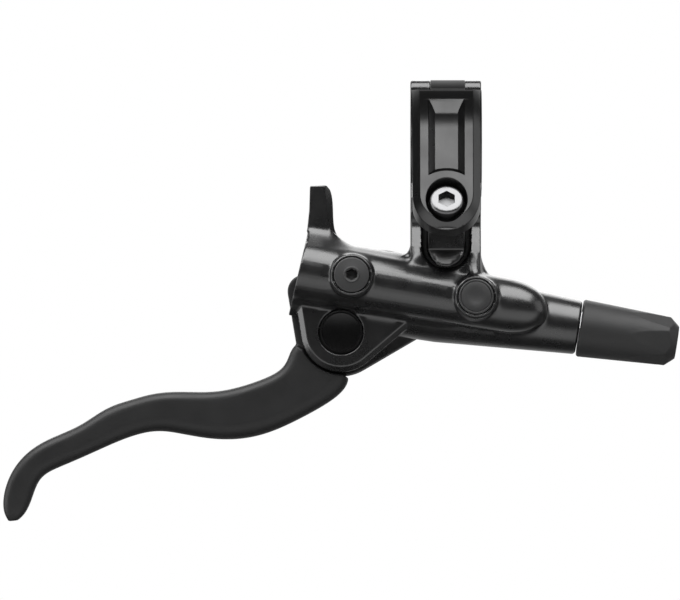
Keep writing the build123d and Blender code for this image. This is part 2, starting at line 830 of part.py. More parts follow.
def lever_blade():
    """The whole lever: blade, eye, heel and the upper arm that drives the push rod."""
    trunnion = trunnion_plane.origin
    arm = hull_of(
        disc(pivot.X, pivot.Z, arm_radius),
        disc(trunnion.X, trunnion.Z, trunnion_boss_radius),
        disc(lobe_x, lobe_z, lobe_radius),
        disc(heel_x, heel_z, heel_radius),
    )
    swept = blade()
    front_space = disc(pivot.X, pivot.Z, front_lug_radius + blade_gap)
    rear_space = disc(pivot.X, pivot.Z, rear_lug_radius + blade_gap)
    swept -= slab(front_space, -far, lever_plane - tongue_half)
    swept -= slab(rear_space, lever_plane + tongue_half, far)
    arm += disc(pivot.X, pivot.Z, eye_radius)
    lever = swept + slab(arm, lever_plane - tongue_half, lever_plane + tongue_half)
    lever -= rod(pivot_plane, bush_radius + press_gap, -far, far)
    for side in (1, -1):
        flat = tongue_half * side
        low, high = sorted((flat - bush_flange * side, flat + overlap * side))
        lever -= rod(pivot_plane, bush_flange_radius + press_gap, low, high)
    cross_plane = Plane(trunnion, x_dir=(1, 0, 0), z_dir=(0, -1, 0))
    lever -= rod(cross_plane, trunnion_radius + running_gap, -far, far)
    return lever - rod_passage()


def pushrod_barrel_nut():
    """The round nut across the lever's upper arm that the push rod screws through."""
    cross_plane = Plane(trunnion_plane.origin, x_dir=(1, 0, 0), z_dir=(0, -1, 0))
    nut = rod(cross_plane, trunnion_radius, -trunnion_half_length, trunnion_half_length)
    return nut - rod(trunnion_plane, rod_radius + running_gap, -far, far)


def reach_adjust_pushrod():
    """The push rod: a screw with a ball end at the piston and a hexagon socket for the reach setting."""
    neck_radius = 1.2
    neck_length = 2.4
    ball = trunnion_plane.offset(rod_length).location * Sphere(rod_ball_radius)
    pushrod = rod(trunnion_plane, rod_radius, -rod_tail, rod_length - neck_length)
    pushrod += rod(trunnion_plane, neck_radius, 0, rod_length)
    pushrod += ball
    key = RegularPolygon(rod_key_flats / 2, 6, major_radius=False)
    return pushrod - extrude(trunnion_plane.offset(-rod_tail - overlap) * key, amount=rod_key_depth + overlap)


def piston():
    """The piston, with a cup for the push rod's ball and two seal grooves."""
    radius = bore_radius - piston_gap
    end = piston_start + piston_length
    solid = rod(cylinder_plane, radius, piston_start, end)
    for station in (primary_seal_station, secondary_seal_station):
        groove = tube(cylinder_plane, seal_groove_radius, radius + overlap, station, station + seal_length)
        solid -= groove
    ball_station = trunnion_station + rod_length
    cup_radius = rod_ball_radius + ball_gap
    solid -= rod(cylinder_plane, cup_radius, 0, ball_station)
    return solid - cylinder_plane.offset(ball_station).location * Sphere(cup_radius)


def cup_seal(station):
    """A rubber cup seal in one of the piston's grooves."""
    lip = 0.5
    inner = seal_groove_radius + press_gap
    outer = bore_radius - piston_gap / 2
    profile = [
        (inner, station + press_gap),
        (outer - lip, station + press_gap),
        (outer, station + lip),
        (outer, station + seal_length - press_gap),
        (inner + lip, station + seal_length - press_gap),
        (inner, station + seal_length - lip),
    ]
    return turned(cylinder_plane, profile)


def piston_stop_ring():
    """The open spring ring at the mouth of the bore that the piston rests against."""
    outer = bore_radius + stop_ring_groove - press_gap
    start = stop_ring_start + press_gap
    ring = tube(cylinder_plane, stop_ring_inner, outer, start, start + stop_ring_thickness)
    opening = Pos(0, -outer) * Rectangle(stop_ring_mouth, 2 * outer)
    return ring - extrude(cylinder_plane.offset(start) * opening, amount=stop_ring_thickness)


def piston_return_spring():
    """The coil spring between the piston and the end of the bore."""
    start = piston_start + piston_length + spring_wire + spring_end_gap
    height = bore_end - spring_wire - spring_end_gap - start
    turns = round(height / spring_pitch)
    path = Helix(height / turns, height, spring_radius)
    wire = sweep(Plane(path @ 0, z_dir=path % 0) * Circle(spring_wire), path, is_frenet=True)
    return cylinder_plane.offset(start).location * wire


def hose_connecting_bolt():
    """The hollow hexagon bolt that holds the hose in the outlet."""
    hex_start = outlet_length + running_gap
    shank = rod(cylinder_plane, fitting_radius, fitting_start, hex_start)
    head = RegularPolygon(fitting_flats / 2, 6, major_radius=False)
    bolt = shank + extrude(cylinder_plane.offset(hex_start) * head, amount=fitting_hex_length)
    return bolt - rod(cylinder_plane, hose_radius, -far, far)


def hose_olive():
    """The soft metal ring that the connecting bolt squeezes on to the hose."""
    end = fitting_start - press_gap
    start = end - olive_length
    waist = 0.5
    profile = [
        (hose_radius, start),
        (olive_radius - waist, start),
        (olive_radius, start + olive_length / 3),
        (olive_radius, end - olive_length / 3),
        (olive_radius - waist, end),
        (hose_radius, end),
    ]
    return turned(cylinder_plane, profile)


def hose_cover():
    """The tapered moulded cover over the connecting bolt, which turns from round to hexagonal."""
    start = outlet_length + cover_gap
    end = start + cover_length
    cavity = cover_left_radius - cover_wall
    shoulder = end - cover_end_length
    profile = [
        (cavity, start),
        (cover_left_radius - cover_edge, start),
        (cover_left_radius, start + cover_edge),
        (cover_right_radius, shoulder),
        (cover_end_radius, end - cover_edge),
        (cover_end_radius - cover_edge, end),
        (cover_bore_radius, end),
        (cover_bore_radius, start + cover_cavity_length),
        (cavity, start + cover_cavity_length),
    ]
    share = cover_flat_start / (shoulder - start)
    apothem = cover_left_radius + (cover_right_radius - cover_left_radius) * share
    grip = cylinder_plane.offset(start + cover_flat_start)
    hexagon = RegularPolygon(apothem, 6, major_radius=False, rotation=30)
    hexagon_end = extrude(grip * hexagon, amount=cover_length, taper=cover_flat_taper)
    round_start = rod(cylinder_plane, cover_left_radius + overlap, start - overlap, start + cover_flat_start)
    return turned(cylinder_plane, profile) & (hexagon_end + round_start)


def main():
    nodes = {
        "master_cylinder_body": master_cylinder_body(),
        "clamp_band": clamp_band(),
        "clamp_hinge_pin": clamp_hinge_pin(),
        "clamp_bolt": clamp_bolt(),
        "bleed_screw": bleed_screw(),
        "bleed_screw_seal": cap_seal(bleed_station),
        "reservoir_cap": reservoir_cap(),
        "reservoir_cap_seal": cap_seal(fill_station),
        "reservoir_bladder": reservoir_bladder(),
        "lever_pivot_pin": lever_pivot_pin(),
        "pivot_circlip": pivot_circlip(),
        "pivot_bush_front": pivot_bush(1),
        "pivot_bush_rear": pivot_bush(-1),
        "lever_blade": lever_blade(),
        "pushrod_barrel_nut": pushrod_barrel_nut(),
        "reach_adjust_pushrod": reach_adjust_pushrod(),
        "piston": piston(),
        "primary_cup_seal": cup_seal(primary_seal_station),
        "secondary_cup_seal": cup_seal(secondary_seal_station),
        "piston_stop_ring": piston_stop_ring(),
        "piston_return_spring": piston_return_spring(),
        "hose_connecting_bolt": hose_connecting_bolt(),
        "hose_olive": hose_olive(),
        "hose_cover": hose_cover(),
    }
    os.makedirs("parts", exist_ok=True)
    for name, shape in nodes.items():
        export_step(shape, f"parts/{name}.step")


main()
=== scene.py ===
"""Dresses the hydraulic brake lever and sets it in a plain white studio."""

import logging
import math
from dataclasses import dataclass, field
from enum import Enum
from typing import Callable, Sequence

import bpy
from mathutils import Matrix, Vector, geometry


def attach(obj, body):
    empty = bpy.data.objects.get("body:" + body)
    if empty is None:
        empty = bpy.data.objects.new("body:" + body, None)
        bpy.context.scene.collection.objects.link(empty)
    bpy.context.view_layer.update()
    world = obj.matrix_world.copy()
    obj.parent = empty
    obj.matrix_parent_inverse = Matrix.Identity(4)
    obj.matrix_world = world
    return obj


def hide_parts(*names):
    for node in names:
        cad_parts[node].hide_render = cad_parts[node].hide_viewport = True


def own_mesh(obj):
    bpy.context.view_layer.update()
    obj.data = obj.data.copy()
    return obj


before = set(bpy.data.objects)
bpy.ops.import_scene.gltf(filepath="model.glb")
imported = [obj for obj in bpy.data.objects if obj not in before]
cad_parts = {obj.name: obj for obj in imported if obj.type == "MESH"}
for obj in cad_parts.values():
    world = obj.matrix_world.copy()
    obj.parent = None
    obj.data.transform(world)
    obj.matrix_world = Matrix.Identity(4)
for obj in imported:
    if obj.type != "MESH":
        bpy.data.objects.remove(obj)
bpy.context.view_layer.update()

LOG = logging.getLogger("brake_lever")

MM = 0.001
MERGE_GAP = 1e-6
THREAD_GAP = 1e-7
SHADE_ANGLE = math.radians(30.0)
RELAX_AND_RESTORE = (0.6, -0.62)
MELT_FACTOR = 0.5
BLEED_STATION = 8.0 * MM
FILL_STATION = 39.5 * MM

Triple = tuple[float, float, float]


class Body(Enum):
    """The bodies that the new pieces ride on."""

    BODY = "body"
    BAND = "clamp_band"
    BOLT = "clamp_bolt"
    LEVER = "lever"


class Slot(Enum):
    """Material slot names that the new pieces are handed; nothing in the script reads them."""

    CASTING = "casting"
    BAND = "band"
    BLADE = "blade"
    BOLT = "bolt_steel"
    PIN = "pin_steel"
    BRIGHT = "bright_steel"
    CAP = "cap_plastic"
    COVER = "cover_plastic"


class Flag(Enum):
    """What a lamp does with the piece that a flag is set for."""

    LIGHTS_IT_ALONE = "INCLUDE"
    LEAVES_IT_OUT = "EXCLUDE"


@dataclass(frozen=True)
class Finish:
    """A surface finish: colour, gloss, and the grain that breaks both up.

    Lengths are in metres, so a grain of 0.0002 is a fifth of a millimetre.
    """

    name: str
    colour: Triple
    second_colour: Triple
    roughness: tuple[float, float]
    metallic: float = 0.0
    specular: float = 0.5
    coat: float = 0.0
    coat_roughness: float = 0.1
    grain: float = 0.0003
    grain_depth: float = 0.00001
    grain_strength: float = 0.2
    grain_detail: float = 3.0
    patch: float = 0.006
    patch_detail: float = 4.0
    patch_range: tuple[float, float] = (0.3, 0.7)

    def material(self) -> bpy.types.Material:
        """Makes the finish's material, or gives it if it has been made.

        Returns:
            The material.
        """
        found = bpy.data.materials.get(self.name)
        if found:
            return found
        material = bpy.data.materials.new(self.name)
        material.use_nodes = True
        tree = material.node_tree
        shader = tree.nodes["Principled BSDF"]
        shader.inputs["Metallic"].default_value = self.metallic
        shader.inputs["Specular IOR Level"].default_value = self.specular
        shader.inputs["Coat Weight"].default_value = self.coat
        shader.inputs["Coat Roughness"].default_value = self.coat_roughness
        place = tree.nodes.new("ShaderNodeTexCoord")
        patches = tree.nodes.new("ShaderNodeTexNoise")
        patches.inputs["Scale"].default_value = 1.0 / self.patch
        patches.inputs["Detail"].default_value = self.patch_detail
        tree.links.new(place.outputs["Object"], patches.inputs["Vector"])
        colours = tree.nodes.new("ShaderNodeMix")
        colours.data_type = "RGBA"
        colours.inputs["A"].default_value = (*self.colour, 1.0)
        colours.inputs["B"].default_value = (*self.second_colour, 1.0)
        tree.links.new(patches.outputs["Fac"], colours.inputs["Factor"])
        tree.links.new(colours.outputs["Result"], shader.inputs["Base Color"])
        gloss = tree.nodes.new("ShaderNodeMapRange")
        gloss.inputs["From Min"].default_value = self.patch_range[0]
        gloss.inputs["From Max"].default_value = self.patch_range[1]
        gloss.inputs["To Min"].default_value = self.roughness[0]
        gloss.inputs["To Max"].default_value = self.roughness[1]
        tree.links.new(patches.outputs["Fac"], gloss.inputs["Value"])
        tree.links.new(gloss.outputs["Result"], shader.inputs["Roughness"])
        grain = tree.nodes.new("ShaderNodeTexNoise")
        grain.inputs["Scale"].default_value = 1.0 / self.grain
        grain.inputs["Detail"].default_value = self.grain_detail
        tree.links.new(place.outputs["Object"], grain.inputs["Vector"])
        bump = tree.nodes.new("ShaderNodeBump")
        bump.inputs["Strength"].default_value = self.grain_strength
        bump.inputs["Distance"].default_value = self.grain_depth
        tree.links.new(grain.outputs["Fac"], bump.inputs["Height"])
        tree.links.new(bump.outputs["Normal"], shader.inputs["Normal"])
        return material


SATIN_CASTING = Finish(
    "satin black casting",
    (0.0030, 0.0030, 0.0032),
    (0.0042, 0.0042, 0.0044),
    (0.25, 0.32),
    specular=1.0, grain=0.0006, grain_depth=0.00003, grain_strength=0.08,
)
ANODISED_BAND = Finish(
    "satin anodised band",
    (0.0045, 0.0045, 0.0047),
    (0.0060, 0.0060, 0.0062),
    (0.27, 0.34),
    specular=1.0, grain=0.00025, grain_depth=0.00001, grain_strength=0.12,
)
BLADE_COAT = Finish(
    "fine textured blade coat",
    (0.0034, 0.0034, 0.0036),
    (0.0048, 0.0048, 0.0050),
    (0.48, 0.56),
    specular=0.5, grain=0.00022, grain_depth=0.00002, grain_strength=0.25,
)
CAP_PLASTIC = Finish(
    "matte cap plastic",
    (0.0070, 0.0070, 0.0072),
    (0.0095, 0.0095, 0.0098),
    (0.46, 0.56),
    specular=0.7, grain=0.0003, grain_depth=0.00002, grain_strength=0.2,
)
COVER_PLASTIC = Finish(
    "spark grained cover plastic",
    (0.0075, 0.0075, 0.0077),
    (0.0105, 0.0105, 0.0107),
    (0.50, 0.60),
    specular=0.45, grain=0.00028, grain_depth=0.00004, grain_strength=0.4,
)
BOLT_STEEL = Finish(
    "brushed bolt steel",
    (0.15, 0.15, 0.153),
    (0.19, 0.19, 0.193),
    (0.30, 0.38),
    metallic=1.0, grain=0.0002, grain_depth=0.000006, grain_strength=0.15,
)
DARK_STEEL = Finish(
    "blackened pin steel",
    (0.0014, 0.0014, 0.0015),
    (0.0022, 0.0022, 0.0023),
    (0.20, 0.27),
    specular=0.5, grain=0.0002, grain_depth=0.00001, grain_strength=0.15,
)
BRIGHT_STEEL = Finish(
    "drawn steel",
    (0.42, 0.42, 0.43),
    (0.50, 0.50, 0.51),
    (0.24, 0.34),
    metallic=1.0, grain=0.0003, grain_depth=0.00001, grain_strength=0.15,
)
INNER_ALLOY = Finish(
    "machined inner alloy",
    (0.48, 0.48, 0.50),
    (0.56, 0.56, 0.58),
    (0.26, 0.36),
    metallic=1.0, grain=0.0003, grain_depth=0.00001, grain_strength=0.15,
)
SEAL_RUBBER = Finish(
    "soft seal rubber",
    (0.010, 0.010, 0.010),
    (0.014, 0.014, 0.014),
    (0.55, 0.7),
    specular=0.35, grain=0.0004, grain_depth=0.00002, grain_strength=0.25,
)
SOFT_BRASS = Finish(
    "soft brass",
    (0.52, 0.36, 0.14),
    (0.60, 0.42, 0.18),
    (0.26, 0.36),
    metallic=1.0, grain=0.0003, grain_depth=0.00001, grain_strength=0.15,
)


class Bench:
    """Small jobs on meshes that the pieces share."""

    @staticmethod
    def pick(piece: bpy.types.Object) -> None:
        """Selects one piece alone and makes it the active one.

        Args:
            piece: The piece to work on.
        """
        if bpy.context.object and bpy.context.object.mode != "OBJECT":
            bpy.ops.object.mode_set(mode="OBJECT")
        bpy.ops.object.select_all(action="DESELECT")
        piece.select_set(True)
        bpy.context.view_layer.objects.active = piece

    @staticmethod
    def apply(piece: bpy.types.Object) -> None:
        """Applies every modifier of a piece in order.

        Args:
            piece: The piece whose modifiers are applied.
        """
        Bench.pick(piece)
        for modifier in list(piece.modifiers):
            bpy.ops.object.modifier_apply(modifier=modifier.name)

    @staticmethod
    def paint(piece: bpy.types.Object, finish: Finish) -> None:
        """Gives a whole piece one finish.

        Args:
            piece: The piece to paint.
            finish: Its finish.
        """
        piece.data.materials.clear()
        piece.data.materials.append(finish.material())

    @staticmethod
    def copy(node: str, name: str) -> bpy.types.Object:
        """Copies a node's solid and merges its loose triangles.

        Args:
            node: The node to copy.
            name: The new piece's name.

        Returns:
            The new piece.
        """
        piece = bpy.data.objects.new(name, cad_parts[node].data.copy())
        bpy.context.scene.collection.objects.link(piece)
        Bench.pick(piece)
        bpy.ops.object.mode_set(mode="EDIT")
        bpy.ops.mesh.select_all(action="SELECT")
        bpy.ops.mesh.remove_doubles(threshold=MERGE_GAP)
        bpy.ops.object.mode_set(mode="OBJECT")
        return piece

    @staticmethod
    def softened(
        node: str,
        name: str,
        voxel: float,
        passes: int,
        stock: Sequence[bpy.types.Object] = (),
        tools: Sequence[bpy.types.Object] = (),
    ) -> bpy.types.Object:
        """Copies a node's solid and rounds its edges off, as casting and blasting do.

        Args:
            node: The node to copy.
            name: The new piece's name.
            voxel: Size of the mesh's cells.
            passes: How often the surface is smoothed and let out again, which keeps its volume.
            stock: Shapes that become one with the copy.
            tools: Shapes that are taken out of the copy first.

        Returns:
            The new piece.
        """
        piece = Bench.copy(node, name)
        for tool in tools:
            Bench.cut(piece, tool)
        if stock:
            Bench.join(piece, *stock)
        cells = piece.modifiers.new("cells", "REMESH")
        cells.mode = "VOXEL"
        cells.voxel_size = voxel
        for number in range(passes):
            for factor in RELAX_AND_RESTORE:
                smooth = piece.modifiers.new(f"smooth_{number}", "SMOOTH")
                smooth.factor = factor
                smooth.iterations = 1
        Bench.apply(piece)
        bpy.ops.object.shade_smooth()
        return piece

    @staticmethod
    def thin(piece: bpy.types.Object, most: int) -> None:
        """Takes triangles out where the surface is flat, until few enough are left.

        Args:
            piece: The piece to thin.
            most: How many triangles it may keep.
        """
        count = sum(len(face.vertices) - 2 for face in piece.data.polygons)
        if count > most:
            fewer = piece.modifiers.new("fewer", "DECIMATE")
            fewer.ratio = most / count
            Bench.apply(piece)

    @staticmethod
    def run(name: str, outlines: Sequence[Sequence[Vector]]) -> bpy.types.Object:
        """Models a closed bar: an outline, extruded and fitted to the next outline along the bar.

        Args:
            name: The bar's name.
            outlines: The outlines along the bar, each with as many corners.

        Returns:
            The bar.
        """
        mesh = bpy.data.meshes.new(name)
        mesh.from_pydata(outlines[0], [], [list(range(len(outlines[0])))])
        piece = bpy.data.objects.new(name, mesh)
        bpy.context.scene.collection.objects.link(piece)
        Bench.select(piece, lambda face: True)
        for last, outline in zip(outlines, outlines[1:]):
            bpy.ops.mesh.extrude_region_move(TRANSFORM_OT_translate={"value": (0, 0, 0)})
            bpy.ops.object.mode_set(mode="OBJECT")
            for vertex in piece.data.vertices:
                if vertex.select:
                    near = min(range(len(last)), key=lambda n: (vertex.co - last[n]).length)
                    vertex.co = outline[near]
            bpy.ops.object.mode_set(mode="EDIT")
        bpy.ops.mesh.select_all(action="SELECT")
        bpy.ops.mesh.normals_make_consistent(inside=False)
        bpy.ops.object.mode_set(mode="OBJECT")
        return piece

    @staticmethod
    def select(piece: bpy.types.Object, wanted: Callable[[bpy.types.MeshPolygon], bool]) -> None:
        """Selects some of a piece's faces and opens it for editing.

        Args:
            piece: The piece to open.
            wanted: Says for each face whether it is selected.
        """
        Bench.pick(piece)
        bpy.ops.object.mode_set(mode="EDIT")
        bpy.ops.mesh.select_mode(type="FACE")
        bpy.ops.mesh.select_all(action="DESELECT")
        bpy.ops.object.mode_set(mode="OBJECT")
        for face in piece.data.polygons:
            face.select = wanted(face)
        bpy.ops.object.mode_set(mode="EDIT")

    @staticmethod
    def looks_up(face: bpy.types.MeshPolygon) -> bool:
        """Says whether a face looks up the Z axis.

        Args:
            face: The face.

        Returns:
            True if it does.
        """
        return face.normal.z > 0.9

    @staticmethod
    def looks_down(face: bpy.types.MeshPolygon) -> bool:
        """Says whether a face looks down the Z axis.

        Args:
            face: The face.

        Returns:
            True if it does.
        """
        return face.normal.z < -0.9

    @staticmethod
    def lies_flat(face: bpy.types.MeshPolygon) -> bool:
        """Says whether a face looks straight up the Z axis, with no slope.

        Args:
            face: The face.

        Returns:
            True if it does.
        """
        return face.normal.z > 0.999

    @staticmethod
    def step(height: float) -> None:
        """Extrudes the selected faces straight along Z.

        Args:
            height: How far they go; down is negative.
        """
        bpy.ops.mesh.extrude_region_move(TRANSFORM_OT_translate={"value": (0, 0, height)})

    @staticmethod
    def round_bar(
        name: str, radius: float, low: float, high: float, sides: int = 96
    ) -> bpy.types.Object:
        """Starts a round piece that stands on the Z axis.

        Args:
            name: The piece's name.
            radius: Its radius.
            low: Where it starts.
            high: Where it ends.
            sides: How many sides its rim has.

        Returns:
            The new piece.
        """
        bpy.ops.object.select_all(action="DESELECT")
        bpy.ops.mesh.primitive_cylinder_add(
            vertices=sides, radius=radius, depth=high - low, location=(0, 0, (low + high) / 2)
        )
        piece = bpy.context.object
        piece.name = name
        bpy.ops.object.transform_apply(location=True, rotation=True, scale=True)
        return piece

    @staticmethod
    def cut(piece: bpy.types.Object, tool: bpy.types.Object) -> None:
        """Takes one shape out of another and throws the tool away.

        Args:
            piece: The piece that is cut.
            tool: The shape that is taken out.
        """
        hole = piece.modifiers.new("hole", "BOOLEAN")
        hole.operation = "DIFFERENCE"
        hole.object = tool
        hole.solver = "EXACT"
        Bench.apply(piece)
        bpy.data.objects.remove(tool)

    @staticmethod
    def ease(piece: bpy.types.Object, width: float, angle: float = 35.0) -> None:
        """Rounds a piece's sharp edges a little and shades it smooth.

        Args:
            piece: The piece to finish.
            width: Width of the rounding.
            angle: Edges sharper than this are rounded, in degrees.
        """
        bevel = piece.modifiers.new("ease", "BEVEL")
        bevel.width = width
        bevel.segments = 3
        bevel.limit_method = "ANGLE"
        bevel.angle_limit = math.radians(angle)
        bevel.use_clamp_overlap = False
        Bench.apply(piece)
        bpy.ops.object.shade_smooth_by_angle(angle=SHADE_ANGLE)

    @staticmethod
    def join(piece: bpy.types.Object, *others: bpy.types.Object) -> None:
        """Makes several shapes one piece.

        Args:
            piece: The piece that the others join.
            others: The shapes that are joined to it.
        """
        Bench.pick(piece)
        for other in others:
            other.select_set(True)
        bpy.ops.object.join()

    @staticmethod
    def stand(piece: bpy.types.Object, origin: Sequence[float], axis: Sequence[float]) -> None:
        """Moves a piece from the Z axis to its place in the lever.

        Args:
            piece: The piece to place.
            origin: Where the foot of its axis goes.
            axis: Where its axis points; it has no part along X, or none along Y.
        """
        rise = Vector(axis).normalized()
        side = Vector((1, 0, 0)) if abs(rise.x) < 0.01 else Vector((0, 1, 0))
        third = rise.cross(side)
        turn = Matrix((side, third, rise)).transposed().to_4x4()
        Bench.pick(piece)
        piece.matrix_world = Matrix.Translation(Vector(origin)) @ turn
        bpy.ops.object.transform_apply(location=True, rotation=True, scale=True)

    @staticmethod
    def melt(
        piece: bpy.types.Object, low: Sequence[float], high: Sequence[float], passes: int
    ) -> None:
        """Smooths the part of a piece inside a box further, as a wide casting fillet.

        Args:
            piece: The piece to smooth.
            low: The box's lowest corner.
            high: Its highest corner.
            passes: How often the surface is smoothed.
        """
        inside = [
            vertex.index
            for vertex in piece.data.vertices
            if all(least < part < most for least, part, most in zip(low, vertex.co, high))
        ]
        group = piece.vertex_groups.new(name="soft")
        group.add(inside, 1.0, "REPLACE")
        smooth = piece.modifiers.new("melt", "SMOOTH")
        smooth.factor = MELT_FACTOR
        smooth.iterations = passes
        smooth.vertex_group = group.name
        Bench.apply(piece)
        piece.vertex_groups.clear()

    @staticmethod
    def fit(piece: bpy.types.Object, body: Body, slot: Slot, *nodes: str) -> None:
        """Sets a finished piece on its body in place of its nodes.

        Args:
            piece: The finished piece.
            body: The body that it rides on.
            slot: Not used.
            nodes: The nodes that it stands for.
        """
        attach(piece, body.value)
        if nodes:
            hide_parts(*nodes)
        LOG.info("%s rides on %s", piece.name, body.value)


@dataclass(frozen=True)
class Reservoir:
    """Where the reservoir lies in the casting."""

    start: Vector = field(default_factory=lambda: Vector((-31.5 * MM, -4.5 * MM, -33.0 * MM)))
    slope: float = math.radians(9.93)
    radii: tuple[float, float] = (7.5 * MM, 6.7 * MM)
    length: float = 47.0 * MM
    cap_tilt: float = math.radians(6.0)

    def section(self, x: float) -> tuple[Vector, float]:
        """Finds the reservoir at one place along the bar.

        Args:
            x: The place.

        Returns:
            Its middle and its radius there.
        """
        run = x - self.start.x
        share = run / math.cos(self.slope) / self.length
        radius = self.radii[0] + (self.radii[1] - self.radii[0]) * share
        return Vector((x, self.start.y, self.start.z - run * math.tan(self.slope))), radius

    def seat(self, piece: bpy.types.Object, station: float) -> None:
        """Moves a round piece from the Z axis to a cap's place on the reservoir.

        Args:
            piece: The piece to place.
            station: How far along the reservoir it goes.
        """
        along = Vector((math.cos(self.slope), 0, -math.sin(self.slope)))
        axis = (0, -math.cos(self.cap_tilt), math.sin(self.cap_tilt))
        Bench.stand(piece, self.start + along * station, axis)


RESERVOIR = Reservoir()


@dataclass(frozen=True)
class CastFillet:
    """A hollow fillet that runs from an upright face of the casting down on to the reservoir.

    Each pair holds the values at the left and the right end. The fillet leaves the face at the
    height high and meets the reservoir at the angle touch, in degrees above its middle. The left
    end leans out by slant, and the stock reaches behind the face by sink.
    """

    ends: tuple[float, float]
    face: tuple[float, float]
    high: tuple[float, float]
    touch: tuple[float, float]
    slant: float = 0.0
    sink: float = 1.5 * MM
    steps: int = 10

    def outline(self, end: int) -> list[Vector]:
        """Draws the fillet's outline at one end.

        Args:
            end: 0 for the left end, 1 for the right.

        Returns:
            The outline's corners.
        """
        x, face, high = self.ends[end], self.face[end], self.high[end]
        middle, radius = RESERVOIR.section(x)
        turn = math.radians(self.touch[end])
        foot = Vector((middle.y - radius * math.cos(turn), middle.z + radius * math.sin(turn)))
        head = Vector((face, high))
        lean = Vector((math.sin(turn), math.cos(turn)))
        bend = foot + lean * ((face - foot.x) / lean.x)
        curve = []
        for number in range(self.steps + 1):
            share = number / self.steps
            first = head.lerp(bend, share)
            second = bend.lerp(foot, share)
            curve.append(first.lerp(second, share))
        corners = [Vector((face + self.sink, high)), *curve, middle.yz]
        slant = self.slant if end == 0 else 0.0
        return [Vector((x + slant * (corner.y - high), corner.x, corner.y)) for corner in corners]

    def build(self) -> bpy.types.Object:
        """Models the fillet.

        Returns:
            The fillet's stock.
        """
        return Bench.run("fillet", (self.outline(0), self.outline(1)))


@dataclass(frozen=True)
class CastRail:
    """A bar along the front of the stalk, as stock for a rail or as a tool for the slope above it.

    Its side view is set back by one depth at its left end and by another at its right.
    """

    left: float
    right: float
    side: tuple[tuple[float, float], ...]
    setback: tuple[float, float]

    def build(self) -> bpy.types.Object:
        """Models the bar from its side view.

        Returns:
            The bar.
        """
        outlines = []
        for x, setback in zip((self.left, self.right), self.setback):
            outlines.append([Vector((x, (y + setback) * MM, z * MM)) for y, z in self.side])
        return Bench.run("rail", outlines)


@dataclass(frozen=True)
class SpineBevel:
    """The tool that bevels the edge that runs down the prong's flank."""

    path: tuple[Triple, ...] = (
        (-29.1, -3.0, -4.0), (-29.1, -3.0, -9.0), (-29.0, -3.0, -12.2), (-28.6, -3.0, -16.5),
        (-28.1, -3.0, -20.5), (-27.6, -3.0, -22.8), (-26.4, -2.9, -24.6), (-25.4, -2.8, -26.4),
    )
    width: float = 1.35 * MM
    clear: float = 0.6 * MM
    steps: int = 5

    def curve(self) -> list[Vector]:
        """Draws a smooth line through the path's points.

        Returns:
            The line's points.
        """
        knots = [Vector(point) * MM for point in self.path]
        line = []
        for before, first, last, after in zip(knots, knots[1:], knots[2:], knots[3:]):
            leave = first + (last - before) / 6
            arrive = last - (after - first) / 6
            part = geometry.interpolate_bezier(first, leave, arrive, last, self.steps + 1)
            line += part[:-1]
        return [*line, knots[-2]]

    def build(self) -> bpy.types.Object:
        """Models the tool: a three-sided bar along the line.

        Returns:
            The tool.
        """
        line = self.curve()
        outlines = []
        for number, place in enumerate(line):
            along = line[min(number + 1, len(line) - 1)] - line[max(number - 1, 0)]
            out = Vector((-along.z, 0, along.x)).normalized()
            back = Vector((0, 1, 0))
            outlines.append([
                place + out * self.clear - back * self.clear,
                place - out * (self.width + self.clear) - back * self.clear,
                place + out * self.clear + back * (self.width + self.clear),
            ])
        return Bench.run("spine_bevel", outlines)


SCOOP = (
    (-13.0, -29.0), (-8.5, -29.0), (-5.32, -21.5), (-5.2, -20.4),
    (-5.6, -19.3), (-6.6, -18.3), (-8.0, -17.6), (-13.0, -17.0),
)
RAIL_FOOT = (
    (-5.0, -28.4), (-8.25, -28.4), (-8.5, -29.0), (-9.35, -31.0), (-10.2, -33.0),
    (-10.55, -34.0), (-10.8, -35.2), (-10.75, -36.5), (-5.0, -37.0),
)


